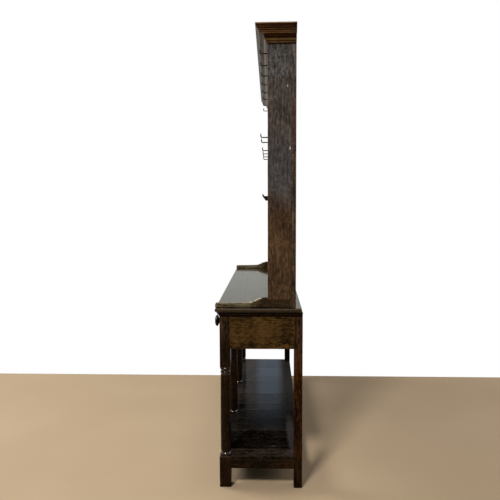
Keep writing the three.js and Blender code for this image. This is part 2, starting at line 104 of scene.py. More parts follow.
class Tone:
    """A number, colour or place that changes over a surface."""

    def __init__(self, recipe, socket):
        self.recipe = recipe
        self.socket = socket

    def __add__(self, other):
        return self.recipe.reckon("ADD", self, other)

    def __sub__(self, other):
        return self.recipe.reckon("SUBTRACT", self, other)

    def __rsub__(self, other):
        return self.recipe.reckon("SUBTRACT", other, self)

    def __mul__(self, other):
        return self.recipe.reckon("MULTIPLY", self, other)


print("sockets ready")

# %% A recipe of nodes, and a finish made from it


class Recipe:
    """A tree of nodes, for a material or for the air."""

    def __init__(self, tree):
        self.tree = tree

    def node(self, kind, settings=None, sockets=None, out=0):
        made = self.tree.nodes.new(kind)
        for key, value in (settings or {}).items():
            setattr(made, key, value)
        for key, value in (sockets or {}).items():
            self.put(made.inputs[key], value)
        return Tone(self, made.outputs[out])

    def put(self, socket, value):
        if isinstance(value, Tone):
            self.tree.links.new(value.socket, socket)
        else:
            socket.default_value = value

    def ramp(self, value, stops):
        """Colours that pass into each other where value reaches their places."""
        made = self.node("ShaderNodeValToRGB", {}, {0: value})
        elements = made.socket.node.color_ramp.elements
        while len(elements) < len(stops):
            elements.new(1)
        for element, (place, colour) in zip(elements, stops):
            element.position = place
            element.color = colour
        return made

    def split(self, vector):
        parts = self.node("ShaderNodeSeparateXYZ", {}, {0: vector})
        return [Tone(self, output) for output in parts.socket.node.outputs]

    def gather(self, x, y, z):
        return self.node("ShaderNodeCombineXYZ", {}, {0: x, 1: y, 2: z})

    def mix(self, share, first, second):
        return self.node("ShaderNodeMix", {"data_type": "RGBA"}, {0: share, 6: first, 7: second}, out=2)

    def reckon(self, operation, left, right=0.0):
        return self.node("ShaderNodeMath", {"operation": operation}, {0: left, 1: right})

    def most(self, left, right):
        return self.reckon("MAXIMUM", left, right)

    def least(self, left, right):
        return self.reckon("MINIMUM", left, right)

    def step(self, value, start, end, low=0.0, high=1.0):
        """Goes smoothly from low to high while value goes from start to end."""
        sockets = {0: value, 1: start, 2: end, 3: low, 4: high}
        return self.node("ShaderNodeMapRange", {"interpolation_type": "SMOOTHSTEP"}, sockets)

    def cloud(self, place, scale=1.0, detail=2.0, rough=0.5):
        sockets = {"Vector": place, "Scale": scale, "Detail": detail, "Roughness": rough}
        return self.node("ShaderNodeTexNoise", {}, sockets)

    def bump(self, height, strength, distance):
        return self.node("ShaderNodeBump", {}, {"Strength": strength, "Distance": distance, "Height": height})


class Finish(Recipe):
    """A material that starts from Blender's plain shader."""

    def __init__(self, name):
        self.material = bpy.data.materials.new(name)
        self.material.use_nodes = True
        super().__init__(self.material.node_tree)
        self.shader = self.tree.nodes["Principled BSDF"]

    def set(self, **values):
        for key, value in values.items():
            self.put(self.shader.inputs[key.replace("_", " ")], value)

    def show(self, surface):
        self.put(self.tree.nodes["Material Output"].inputs[0], surface)


def tint(red, green, blue):
    """A colour given on a scale of 0 to 255, as the shader's own numbers."""

    def plain(value):
        value /= 255
        return value / 12.92 if value <= 0.04045 else ((value + 0.055) / 1.055) ** 2.4

    return (plain(red), plain(green), plain(blue), 1.0)


print("shader maths ready", [round(v, 4) for v in tint(64, 45, 22)])

# %% [markdown]
# ## Floor, wall and light
# The dresser stands on a plain pale floor in front of a white wall. The floor is a large plane that takes the
# shadow. The wall is one too, just behind the dresser's far end, but it only glows for the camera and in
# reflections, so that it throws no light on the wood, and from behind it can't be seen. A white world alone
# would leave the floor without an end. Polished wood shows what it mirrors, so in reflections the wall is
# darker near the floor, but for a cool bright patch like a window's, which gives the potboard its blue sheen.
# The air is a studio: pale at the far end and overhead, and dim on the camera's side, because polished black
# wood turns grey when it mirrors a bright room. A large soft lamp above the near end leaves the hollows dark,
# and two weaker ones light the front and the back.

# %% Floor
FLOOR_HALF = 9.0


def floor_finish():
    finish = Finish("plain floor")
    east, north, _ = finish.split(finish.node("ShaderNodeTexCoord", out="Object"))
    mottle = finish.cloud(finish.gather(east, north, 0.0), 1.3, 3.0)
    shade = finish.mix(finish.step(mottle, 0.3, 0.7), tint(147, 127, 101), tint(151, 131, 105))
    finish.set(Base_Color=shade, Roughness=0.75, Specular_IOR_Level=0.2)
    return finish.material


bpy.ops.object.select_all(action="DESELECT")
bpy.ops.mesh.primitive_plane_add(size=2 * FLOOR_HALF, location=(0, 0, 0))
floor = bpy.context.object
floor.name = "floor"
floor.data.materials.append(floor_finish())
print("floor", floor.dimensions[:])

# %% White wall
WALL_PLACE = -0.845
WALL_HEIGHT = 6.0
MIRRORED_SHARE = 0.56
WALL_TONE = (0.99, 1.01, 0.95, 1)
LOW_TONE = (0.55, 0.53, 0.50, 1)
WINDOW_TONE = (0.86, 1.06, 1.32, 1)
LOW_EDGE = (0.85, 0.6)
WINDOW_EDGES = ((-0.06, 0.0), (0.16, 0.115))


def wall_finish():
    finish = Finish("white wall")
    seen = finish.node("ShaderNodeLightPath", out="Is Camera Ray")
    mirrored = finish.node("ShaderNodeLightPath", out="Is Glossy Ray")
    passed = finish.node("ShaderNodeLightPath", out="Is Transmission Ray")
    behind = finish.node("ShaderNodeNewGeometry", out="Backfacing")
    _, north, up = finish.split(finish.node("ShaderNodeTexCoord", out="Object"))
    window = finish.step(north, *WINDOW_EDGES[0]) * finish.step(north, *WINDOW_EDGES[1])
    near_floor = finish.mix(window, LOW_TONE, WINDOW_TONE)
    colour = finish.mix(finish.step(up, *LOW_EDGE), WALL_TONE, near_floor)
    colour = finish.mix(seen, colour, (1, 1, 1, 1))
    strength = seen * (1 - MIRRORED_SHARE) + MIRRORED_SHARE
    glow = finish.node("ShaderNodeEmission", {}, {"Color": colour, "Strength": strength})
    clear = finish.node("ShaderNodeBsdfTransparent")
    share = finish.most(finish.most(seen, mirrored), passed) * (1 - behind)
    finish.show(finish.node("ShaderNodeMixShader", {}, {0: share, 1: clear, 2: glow}))
    return finish.material


bpy.ops.object.select_all(action="DESELECT")
bpy.ops.mesh.primitive_plane_add(size=1, location=(WALL_PLACE, 0, WALL_HEIGHT / 2), rotation=(0, math.pi / 2, 0))
wall = bpy.context.object
wall.name = "wall"
wall.scale = (WALL_HEIGHT, 2 * FLOOR_HALF, 1)
bpy.ops.object.transform_apply(location=True, rotation=True, scale=True)
wall.data.materials.append(wall_finish())
print("wall", [round(v, 2) for v in wall.dimensions])

# %% Air round the dresser
FAR_LEVEL = 0.75
CEILING_LEVEL = 0.4
LEAST_LEVEL = 0.1


def studio_air():
    world = bpy.data.worlds.new("studio air")
    bpy.context.scene.world = world
    world.use_nodes = True
    air = Recipe(world.node_tree)
    east, _, up = air.split(air.node("ShaderNodeTexCoord", out="Generated"))
    seen = air.node("ShaderNodeLightPath", out="Is Camera Ray")
    far_end = air.step(east, -0.05, -0.5)
    low_light = air.step(up, 0.0, 0.25, 0.3, 1.0)
    level = air.most(far_end * low_light * FAR_LEVEL, air.step(up, 0.15, 0.6) * CEILING_LEVEL)
    colour = air.mix(far_end, (1.0, 0.97, 0.93, 1), (0.95, 0.98, 1.0, 1))
    light = air.node("ShaderNodeBackground", {}, {"Color": colour, "Strength": air.most(level, LEAST_LEVEL)})
    white = air.node("ShaderNodeBackground", {}, {"Color": (1, 1, 1, 1), "Strength": 1.0})
    shown = air.node("ShaderNodeMixShader", {}, {0: seen, 1: light, 2: white})
    air.put(air.tree.nodes["World Output"].inputs[0], shown)


studio_air()
print("air", FAR_LEVEL, CEILING_LEVEL, LEAST_LEVEL)

# %% Soft lamps
LAMPS = {
    "lamp_above_end": ((5.2, -1.9, 6.1), 1.3, 550),
    "lamp_front": ((-0.4, -3.1, 3.2), 1.8, 140),
    "lamp_back": ((-0.2, 3.6, 2.6), 2.2, 45),
}
AIM = Vector((0.1, 0.0, 0.9))


def soft_lamp(name, place, size, power):
    lamp = bpy.data.objects.new(name, bpy.data.lights.new(name, "AREA"))
    bpy.context.collection.objects.link(lamp)
    lamp.data.shape = "DISK"
    lamp.data.size = size
    lamp.data.energy = power
    lamp.location = place
    lamp.rotation_euler = (AIM - Vector(place)).to_track_quat("-Z", "Y").to_euler()


for name, setting in LAMPS.items():
    soft_lamp(name, *setting)
print("lamps", sorted(LAMPS))

# %% [markdown]
# ## Old oak
# Every piece of wood is oak, waxed for so long that it is nearly black in places. Grain could come from a
# painted picture, but a solid pattern runs through the piece as in real timber, so the end of a board shows
# its rings and the face its lines. The rings are circles round a pith that lies outside the piece and sways
# along it. Short pores are stretched along the grain, wax and dirt lie in clouds, and the arrises are worn
# pale where hands and cloths have rubbed them.

# %% Places in the wood
PITH = (0.11, 0.05)
RUNS = {"X": (0, 2, 1), "Y": (1, 2, 0), "Z": (2, 1, 0)}


def grain_places(finish, run, seed):
    """Object coordinates turned so that the first runs with the grain, and shifted by the piece's seed."""
    places = finish.split(finish.node("ShaderNodeTexCoord", out="Object"))
    first, second, third = [places[i] for i in RUNS[run]]
    dice = random.Random(seed)
    return places, (first + dice.uniform(3, 9), second + dice.uniform(-0.04, 0.04), third)


def edge_distance(finish, places, low, high):
    """How far a point on a box's face lies from the face's nearest edge: the middle one of three distances."""
    near = []
    for place, start, end in zip(places, low, high):
        near.append(finish.least(finish.reckon("ABSOLUTE", place - start), finish.reckon("ABSOLUTE", end - place)))
    a, b, c = near
    return finish.most(finish.least(a, b), finish.least(finish.most(a, b), c))


def wood(finish, tones, tone):
    """The wood's colour from the shade in its pores, its ground and its light streaks."""
    return finish.ramp(tone, list(zip((0.0, 0.5, 1.0), tones)))


print("wood places ready")

# %% [markdown]
# ## Age, wear and painted light
# Two boards from one tree look different after two hundred years: one end of a board has dried to grey, a
# moulding holds dirt in its hollows, and knocks leave pale chips and dark nail holes. Some of the changes also
# paint light and shade into the colour: a grey sheen high on the rack, a patch of sheen on the potboard, glints
# on the rack feet, shade in the hollows of the mouldings, and shadow lines where the feet stand on the board.
# Each of these is a small function that changes the colour which the oak has so far, so a piece can have
# several of them.

# %% Changes of the colour


def turning(tones, axis, start, end, ragged=0.0, scale=3.0):
    """The wood turns into another tone between two places along an axis, with a ragged border."""

    def change(finish, places, colour, tone):
        place = places["XYZ".index(axis)]
        if ragged:
            place = place + (finish.cloud(finish.gather(*places), scale, 4.0, 0.6) - 0.5) * ragged
        return finish.mix(finish.step(place, start, end), colour, wood(finish, tones, tone))

    return change


def clouded(tones, scale, start, end, share=1.0, above=None):
    """Another tone shows through in clouds, if asked only above a height."""

    def change(finish, places, colour, tone):
        x, y, z = places
        cover = finish.step(finish.cloud(finish.gather(x, y, z * 0.6), scale, 4.0, 0.6), start, end, 0.0, share)
        if above:
            cover = cover * finish.step(z, above - 0.01, above)
        return finish.mix(cover, colour, wood(finish, tones, tone))

    return change


def marked(x, deep, *marks):
    """Single marks on a face across X: place and reach along Y and Z, colour, and how much of the wood it covers."""

    def change(finish, places, colour, tone):
        ragged = (finish.cloud(finish.gather(*places), 140.0, 3.0) - 0.5) * 0.9
        for y, z, wide, tall, shade, share in marks:
            near = [(place - c) * (1 / r) for place, c, r in zip(places, (x, y, z), (deep, wide, tall))]
            squares = [part * part for part in near]
            away = finish.reckon("SQRT", squares[0] + squares[1] + squares[2]) + ragged
            colour = finish.mix(finish.step(away, 1.1, 0.6) * share, colour, tint(*shade))
        return colour

    return change


def banded(low, high, bands, tones):
    """Dirt and painted shade in the hollows, and wear on the arrises of a moulding: shares of its height, with 0 dark
    and 1 worn.
    """
    dark, worn = tones[0], tones[3]

    def change(finish, places, colour, tone):
        height = (places[2] - low) * (1 / (high - low))
        level = finish.ramp(height, [(at, (value, value, value, 1)) for at, value in bands])
        ragged = (finish.cloud(finish.gather(*places), 30.0, 3.0) - 0.5) * 0.5
        colour = finish.mix(finish.step(level, 0.5, 0.0), colour, dark)
        return finish.mix(finish.step(level + ragged * level, 0.55, 1.0), colour, worn)

    return change


print("age and wear ready")

# %% Oak
GRAIN_DEPTH = 0.001


def oak(
    name, run, tones, seed, box, polish=0.28, wear=0.6, coat=0.0, shine=0.1, relief=0.35, figure=1.0, mottle=1.0,
    fine=1.0, lines=1.2, pitch=0.0095, changes=(), rubbed=(), dusty=()
):
    """Waxed oak. lines is how much the streaks show, pitch the width of a ring, rubbed the most polished heights,
    dusty the places along Y between which the polish goes dull, and relief how deep the grain is felt."""
    shade, _, _, worn = tones
    finish = Finish(name)
    places, (first, second, third) = grain_places(finish, run, seed)
    x, y, z = places

    def stretched(with_grain, across_grain, scale, detail, rough=0.5):
        """Noise drawn out along the grain."""
        place = finish.gather(first * with_grain, second * across_grain, third * across_grain)
        return finish.cloud(place, scale, detail, rough)

    _, middle_across, middle_deep = [(box[0][i] + box[1][i]) / 2 for i in RUNS[run]]
    sway = stretched(1.6, 5.0, 1.0, 2.0)
    drift = stretched(0.9, 2.0, 1.0, 1.0)
    across = second - middle_across + (sway - 0.5) * 0.07 + PITH[0]
    deep = third - middle_deep + (drift - 0.5) * 0.2 + PITH[1]
    radius = finish.reckon("SQRT", across * across + deep * deep)
    waver = stretched(7.0, 60.0, 1.0, 3.0, 0.6)
    ring = finish.reckon("FRACT", radius * (1 / pitch) + waver * 0.9)
    early = finish.step(ring, 0.45, 0.95) - finish.step(ring, 0.95, 1.0)
    streak = stretched(4.0, 110.0, fine, 4.0, 0.65)
    hair = stretched(28.0, 620.0, 1.0, 2.0, 0.6)
    pores = finish.step(stretched(110.0, 1500.0, 1.0, 1.0), 0.56, 0.66) * (early * 0.6 + 0.4)
    grime = finish.cloud(finish.gather(x * 7.0, y * 7.0 + seed, z * 7.0), 1.0, 4.0, 0.62)
    speck = stretched(55.0, 130.0, fine, 2.0, 0.6)
    patches = (grime + speck - 1.0) * (1.6 * mottle)
    tone = (streak - 0.5) * lines + (hair - 0.5) * 0.5 + patches
    tone = tone - early * (0.34 * figure) + 0.09 * figure + 0.5
    colour = wood(finish, tones, tone)
    for change in changes:
        colour = change(finish, places, colour, tone)
    colour = finish.mix(pores * 0.6, colour, shade)
    if wear:
        reach = finish.step(grime, 0.35, 0.7, 0.0008, 0.0042)
        bare = finish.step(edge_distance(finish, places, *box), 0.0, reach, wear, 0.0)
        colour = finish.mix(bare * finish.step(streak + hair, 0.7, 1.2, 0.2, 1.0), colour, worn)
    rough = (grime - 0.5) * 0.2 + pores * 0.15 + (hair - 0.5) * 0.1 + polish
    for start, end in dusty:
        rough = rough + finish.step(y, start, end) * 0.4
    dents = finish.cloud(finish.gather(x * 16.0, y * 16.0, z * 16.0 + seed), 1.0, 3.0, 0.55)
    height = dents * 0.5 + hair * 0.12 + streak * 0.12 - pores * 0.2 - early * 0.1
    finish.set(Base_Color=colour, Roughness=rough, Normal=finish.bump(height, relief, GRAIN_DEPTH))
    finish.set(Specular_IOR_Level=shine, Coat_Roughness=0.16)
    weight = finish.step(grime, 0.3, 0.65, coat * 0.35, coat) if coat else 0.0
    for low, high in rubbed:
        band = finish.step(z, low - 0.002, low) * finish.step(z, high + 0.002, high)
        weight = finish.most(weight, band * 0.9)
    finish.set(Coat_Weight=weight)
    return finish.material


print("oak ready")

# %% [markdown]
# ## Modelling tools
# Each piece starts from a primitive or from an outline that is drawn point by point, and is shaped in edit
# mode. The operators act on what is selected, so the tools first clear the selection and then pick edges by
# where they lie. At the end a piece sits at the origin with its place in its mesh, so that the
# grain on Object coordinates stays where it was laid out.

# %% Selecting


def rest():
    if bpy.context.object and bpy.context.object.mode != "OBJECT":
        bpy.ops.object.mode_set(mode="OBJECT")
    bpy.ops.object.select_all(action="DESELECT")


def take(piece):
    rest()
    bpy.context.view_layer.objects.active = piece
    piece.select_set(True)


def edit(piece, kind):
    """Opens a piece in edit mode with nothing selected."""
    take(piece)
    bpy.ops.object.mode_set(mode="EDIT")
    bpy.ops.mesh.select_mode(type=kind)
    bpy.ops.mesh.select_all(action="DESELECT")
    return bmesh.from_edit_mesh(piece.data)


def edit_all(piece, kind="FACE"):
    """Opens a piece in edit mode with everything selected."""
    edit(piece, kind)
    bpy.ops.mesh.select_all(action="SELECT")


def close_up():
    """Merges points that lie on each other, turns all faces outward and ends the editing."""
    bpy.ops.mesh.select_all(action="SELECT")
    bpy.ops.mesh.remove_doubles(threshold=0.00001)
    bpy.ops.mesh.normals_make_consistent(inside=False)
    rest()


def pick(piece, wanted):
    """Selects the edges for which wanted is true."""
    mesh = edit(piece, "EDGE")
    for edge in mesh.edges:
        edge.select_set(bool(wanted(edge)))
    mesh.select_flush_mode()
    bmesh.update_edit_mesh(piece.data)


def middle(edge):
    return (edge.verts[0].co + edge.verts[1].co) / 2


def along(edge, axis):
    step = edge.verts[1].co - edge.verts[0].co
    return abs(step["XYZ".index(axis)]) > 0.98 * step.length


def is_sharp(edge):
    return len(edge.link_faces) == 2 and edge.calc_face_angle(0) > math.radians(40)


def leave(piece):
    """Leaves edit mode and puts the piece's place into its mesh."""
    take(piece)
    bpy.ops.object.transform_apply(location=True, rotation=True, scale=True)
    return piece


print("selecting ready")

# %% Boards, outlines, turning and bevels


def shares(steps):
    """Evenly spaced numbers from 0 to 1."""
    return [i / steps for i in range(steps + 1)]


def named(name):
    """Gives the piece that was just added its name."""
    piece = bpy.context.object
    piece.name = piece.data.name = name
    return piece


def extrude(step):
    bpy.ops.mesh.extrude_region_move(TRANSFORM_OT_translate={"value": step})


def board(name, low, high):
    """A squared board between two corners."""
    rest()
    centre = [(a + b) / 2 for a, b in zip(low, high)]
    size = [b - a for a, b in zip(low, high)]
    bpy.ops.mesh.primitive_cube_add(size=1, location=centre, scale=size)
    return leave(named(name))


def outline(name, points, closed=True):
    """A flat outline drawn point by point from one vertex."""
    rest()
    points = [Vector(p) for p in points]
    bpy.ops.mesh.primitive_plane_add(size=0.01, location=points[0])
    piece = named(name)
    edit_all(piece, "VERT")
    bpy.ops.mesh.merge(type="CENTER")
    for here, there in zip(points, points[1:]):
        bpy.ops.mesh.extrude_vertices_move(TRANSFORM_OT_translate={"value": there - here})
    if closed:
        bpy.ops.mesh.select_all(action="SELECT")
        bpy.ops.mesh.edge_face_add()
    return leave(piece)


def pull(piece, step):
    """Pulls a flat outline out to a solid."""
    edit_all(piece)
    extrude(step)
    close_up()
    return piece


def turned(name, profile, centre, axis="Z", steps=40):
    """A turned piece: the profile gives radius and place along the axis, and starts and ends on the axis."""
    centre = Vector(centre)
    across = Vector((1, 0, 0))
    length = Vector((0, 0, 1)) if axis == "Z" else Vector((0, -1, 0))
    piece = outline(name, [centre + across * r + length * z for r, z in profile], closed=False)
    edit_all(piece, "VERT")
    bpy.ops.mesh.spin(steps=steps, angle=2 * math.pi, center=centre, axis=length)
    close_up()
    return piece


def ease(piece, offset, wanted=is_sharp, segments=3):
    """Rounds the chosen edges over, as hands and cloths do."""
    pick(piece, wanted)
    bpy.ops.mesh.bevel(offset=offset, offset_type="OFFSET", segments=segments, affect="EDGES", clamp_overlap=True)
    rest()


def wander(piece, axis, cuts, depth, seed):
    """Divides a board along its length and moves the corners between its ends a little, as a plane and time do."""
    pick(piece, lambda edge: along(edge, axis))
    bpy.ops.mesh.subdivide(number_cuts=cuts)
    mesh = edit(piece, "VERT")
    index = "XYZ".index(axis)
    ends = [v.co[index] for v in mesh.verts]
    for vertex in mesh.verts:
        vertex.select_set(min(ends) + 0.001 < vertex.co[index] < max(ends) - 0.001)
    bpy.ops.transform.vertex_random(offset=depth, uniform=1.0, normal=0.0, seed=seed)
    rest()


def slice_off(piece, point, normal):
    """Cuts away what lies beyond a plane and closes the cut."""
    edit_all(piece)
    bpy.ops.mesh.bisect(plane_co=point, plane_no=normal, use_fill=True, clear_outer=True)
    rest()


def twin(piece, name, step=(0, 0, 0)):
    """A copy with its own mesh, moved by a step."""
    rest()
    copy = piece.copy()
    copy.data = piece.data.copy()
    copy.name = copy.data.name = name
    bpy.context.collection.objects.link(copy)
    copy.location = step
    return leave(copy)


def weld(piece, others):
    """Joins solids that touch or overlap into one closed skin."""
    for other in others:
        union = piece.modifiers.new("union", "BOOLEAN")
        union.operation = "UNION"
        union.solver = "EXACT"
        union.object = other
        take(piece)
        bpy.ops.object.modifier_apply(modifier=union.name)
        bpy.data.objects.remove(other)
    return piece


SLOTS = {part["node"]: part["material_slot"] for part in frame["record"]["subparts"]}


def dress(piece, node, material, body="carcass", angle=35):
    """Gives a finished piece its smooth faces, its finish and its body, and hides the solid that it stands for."""
    take(piece)
    bpy.ops.object.shade_smooth_by_angle(angle=math.radians(angle))
    flat = piece.modifiers.new("flat faces", "WEIGHTED_NORMAL")
    flat.keep_sharp = True
    bpy.ops.object.modifier_apply(modifier=flat.name)
    piece.data.materials.clear()
    piece.data.materials.append(material)
    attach(piece, body)
    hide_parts(node)


print("modelling tools ready")

# %% [markdown]
# ## Tones of the oak
# The same oak has aged in different ways: the legs are nearly black, the end rail is a warm brown, the back
# leg is reddish, the rack is dry and greyish, its grey higher up partly a painted sheen, and the inside of the
# drawers has kept its paler colour.

# %% Tones


def tints(*colours):
    return tuple(tint(*colour) for colour in colours)


TONES = {
    "black_oak": tints((4, 2, 1), (21, 11, 3), (42, 24, 9), (66, 42, 22)),
    "brown_oak": tints((20, 11, 2), (52, 36, 13), (78, 56, 26), (104, 76, 42)),
    "red_oak": tints((10, 4, 1), (35, 17, 3), (64, 32, 8), (88, 52, 22)),
    "rack_oak": tints((30, 22, 16), (62, 44, 27), (90, 68, 46), (116, 96, 74)),
    "dry_oak": tints((26, 22, 20), (57, 50, 45), (86, 77, 70), (122, 114, 104)),
    "board_oak": tints((14, 10, 3), (36, 27, 10), (54, 42, 22), (104, 84, 56)),
    "potboard_oak": tints((4, 3, 2), (20, 15, 12), (36, 28, 22), (80, 64, 52)),
    "worn_foot": tints((36, 30, 20), (90, 79, 56), (116, 103, 77), (150, 136, 108)),
    "dark_foot": tints((14, 8, 2), (36, 24, 9), (60, 44, 22), (150, 136, 108)),
    # The two grey tones paint the sheen high on the rack as well as dry oak.
    "grey_sheen_top": tints((26, 25, 25), (62, 58, 55), (96, 92, 88), (122, 118, 112)),
    "grey_painted_sheen": tints((40, 38, 39), (62, 58, 57), (84, 81, 80), (122, 118, 112)),
    "cornice_oak": tints((14, 4, 1), (54, 25, 3), (80, 43, 10), (136, 112, 74)),
    "drawer_oak": tints((58, 40, 24), (112, 84, 56), (142, 110, 78), (150, 122, 90)),
    "knob_wood": tints((4, 3, 2), (16, 11, 8), (32, 22, 14), (60, 46, 32)),
}


def oak_of(node, run, seed, tones=None, **look):
    """The oak of one piece, laid out in the box of the solid that it stands for."""
    low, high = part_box(node)
    return oak(f"oak {node}", run, TONES[tones or SLOTS[node]], seed, (tuple(low), tuple(high)), **look)


def dress_oak(piece, node, run, seed, body="carcass", angle=35, **look):
    """Gives a finished piece the oak of the solid that it stands for."""
    dress(piece, node, oak_of(node, run, seed, **look), body=body, angle=angle)


def plank(node, run, seed, cuts, depth, arris, **look):
    """A plain board in its solid's place, which wanders a little along the grain and has rubbed arrises."""
    piece = board(f"oak_{node}", *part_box(node))
    wander(piece, run, cuts, depth, seed)
    ease(piece, arris)
    dress_oak(piece, node, run, seed, **look)


print("tones", sorted(TONES))

# %% [markdown]
# ## Legs
# The four front legs are square blocks at the top and the foot with a turned column between them. Lathe work
# is a profile spun round an axis, so each bead and hollow is drawn once. The leg is made once and copied.

# %% Front legs
FOOT_TOP = 0.145
FOOT_SWELL = 0.0045
SHOULDER = 0.562
NECK = 0.0202
TENON = 0.004
COLUMN_SHIFT = 0.0006
SHAFT_BOTTOM, SHAFT_TOP = 0.170, 0.524
SHAFT_RADIUS, SHAFT_TAPER, SHAFT_SWELL = 0.0236, 0.0016, 0.0004


def bead(bottom, height, neck, crown, steps=7):
    return [(neck + (crown - neck) * math.sin(math.pi * share), bottom + height * share) for share in shares(steps)]


def hollow(bottom, height, start, end, steps=4):
    points = []
    for share in shares(steps)[1:]:
        points.append((start + (end - start) * (1 - math.cos(math.pi / 2 * share)), bottom + height * share))
    return points


def column_profile():
    """Beads and hollows with a plain shaft between them, which tapers upwards with a slight swell."""
    shaft = []
    for share in shares(8):
        radius = SHAFT_RADIUS - SHAFT_TAPER * share**2 + SHAFT_SWELL * math.sin(math.pi * share)
        shaft.append((radius, SHAFT_BOTTOM + (SHAFT_TOP - SHAFT_BOTTOM) * share))
    return [
        (0, FOOT_TOP - TENON), (NECK, FOOT_TOP - TENON), (NECK, FOOT_TOP),
        *bead(FOOT_TOP + 0.0005, 0.0165, NECK, 0.0256), (NECK, FOOT_TOP + 0.018), (NECK, FOOT_TOP + 0.0195),
        *hollow(FOOT_TOP + 0.0195, 0.004, NECK, 0.0234), *shaft,
        (NECK, SHAFT_TOP + 0.003), (NECK, SHAFT_TOP + 0.006), *bead(0.5305, 0.013, NECK, 0.0230),
        (NECK, 0.5455), *bead(0.5475, 0.0135, NECK, 0.0240),
        (NECK, SHOULDER), (NECK, SHOULDER + TENON), (0, SHOULDER + TENON),
    ]


def front_leg(name):
    low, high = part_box("front_leg_1")
    centre = Vector(((low.x + high.x) / 2, (low.y + high.y) / 2 - COLUMN_SHIFT, 0))
    foot = board(name, (low.x, low.y - FOOT_SWELL, 0), (high.x, high.y, FOOT_TOP))
    ease(foot, 0.0025)
    top = board("top", (low.x, low.y, SHOULDER), high)
    ease(top, 0.002)
    return weld(foot, [turned("column", column_profile(), centre), top])


BEADS = [(0.143, 0.166), (0.526, 0.565)]
BLOCK = turning(tints((18, 11, 5), (52, 37, 22), (74, 53, 33)), "Z", 0.62, 0.78, ragged=0.1, scale=6.0)
leg = front_leg("oak_front_leg_1")
for number in (1, 2, 3, 4):
    node = f"front_leg_{number}"
    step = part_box(node)[0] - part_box("front_leg_1")[0]
    piece = leg if number == 1 else twin(leg, f"oak_{node}", step)
    look = {"polish": 0.25, "shine": 0.05, "coat": 0.04, "changes": [BLOCK], "rubbed": BEADS}
    dress_oak(piece, node, "Z", 10 + number, **look)
print("front leg", len(leg.data.polygons), "faces")

# %% Back legs
DARK_FOOT = turning(TONES["black_oak"], "Z", 0.42, 0.02, ragged=0.15, scale=6.0)
BROWN_TOP = turning(tints((14, 8, 5), (37, 24, 14), (62, 42, 27)), "Z", 0.52, 0.72, ragged=0.2, scale=6.0)
LOOK = {"tones": "red_oak", "shine": 0.06, "lines": 2.2, "mottle": 1.5, "changes": [DARK_FOOT, BROWN_TOP]}
for side, seed in (("left", 21), ("right", 22)):
    plank(f"back_leg_{side}", "Z", seed, 11, 0.0005, 0.0022, **LOOK)
print("back legs done")

# %% [markdown]
# ## Rails
# The rails are plain boards between the legs. Their arrises have been rubbed round, and no board that was
# planed by hand is quite straight, so each is divided along its length and its corners wander a little.

# %% Rails
RAILS = [f"{level}end_rail_{side}" for level in ("", "lower_") for side in ("left", "right")]
RAILS += ["back_rail", "lower_back_rail", "top_rail"]
RAILS += [f"{level}_rail_{number}" for level in ("drawer", "lower_front") for number in (1, 2, 3)]
BLACK = ("lower_back", "lower_front")
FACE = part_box("end_rail_right")[1].x
RAIL_CLOUDS = clouded(TONES["black_oak"], 9.0, 0.52, 0.76, share=0.6)
RAIL_PATCHES = marked(
    FACE, 0.02,
    (0.0, 0.730, 0.16, 0.06, (66, 45, 22), 0.25),
    (-0.10, 0.795, 0.09, 0.03, (18, 10, 3), 0.5),
    (0.14, 0.73, 0.03, 0.09, (22, 13, 4), 0.45),
)
RAIL_MARKS = marked(
    FACE, 0.01, (0.102, 0.7924, 0.022, 0.006, (14, 8, 2), 0.9), (0.138, 0.6649, 0.012, 0.010, (92, 62, 22), 0.7)
)
LOOK = {"polish": 0.3, "shine": 0.08, "figure": 0.8, "fine": 0.9, "lines": 0.9, "mottle": 1.8, "pitch": 0.012}
for seed, node in enumerate(RAILS, 31):
    tones = "black_oak" if node.startswith(BLACK) else None
    changes = [RAIL_CLOUDS, RAIL_PATCHES, RAIL_MARKS] if node.startswith("end") else []
    run = "Y" if "end" in node else "X"
    plank(node, run, seed, 9, 0.0003, 0.0013, tones=tones, changes=changes, **LOOK)
print("rails", len(RAILS))

# %% Drawer runners
for number in (1, 2, 3, 4):
    node = f"drawer_runner_{number}"
    frame["nodes"][node].material_slots[0].material = oak_of(node, "Y", 50 + number, polish=0.6, wear=0.3)
print("runners keep their solids and get their own oak")

# %% [markdown]
# ## Potboard
# The potboard's boards run from front to back, with open V joints where they meet. The whole plan, with its
# notches round the legs, is drawn once. Each board is a copy of it that is cut at its two joints.

# %% Potboard
JOINT_SHARES = [0.0, 0.05, 0.185, 0.285, 0.36, 0.42, 0.53, 0.73, 0.87, 1.0]
CLEAR = 0.0002
TILT = 0.0006
# Grounds of the boards from the near end: greyer towards the far end, where they also paint part of the sheen.
BOARD_BASES_AND_SHEEN = tints(
    (23, 14, 8), (5, 4, 3), (10, 8, 6), (12, 10, 8), (15, 12, 10), (15, 13, 12), (17, 16, 16), (19, 18, 18),
    (19, 19, 20),
)
SHINES = [0.05, 0.0, 0.015, 0.022, 0.04, 0.055, 0.12, 0.14, 0.1]
# Boards 2 to 5 get fainter, darker streaks as painted shade.
FAINT = range(2, 6)
DUST = [(0.13, 0.17), (-0.10, -0.13)]
# Painted reflection: a pale grey patch across the back of the potboard stands for the sheen it mirrors there.
PAINTED_REFLECTION = marked(0.50, 0.26, (0.168, 0.148, 0.022, 0.02, (50, 47, 46), 0.5))
FLECKS = clouded(tints((20, 16, 14), (40, 35, 31), (62, 56, 50)), 60.0, 0.64, 0.72, share=0.7)


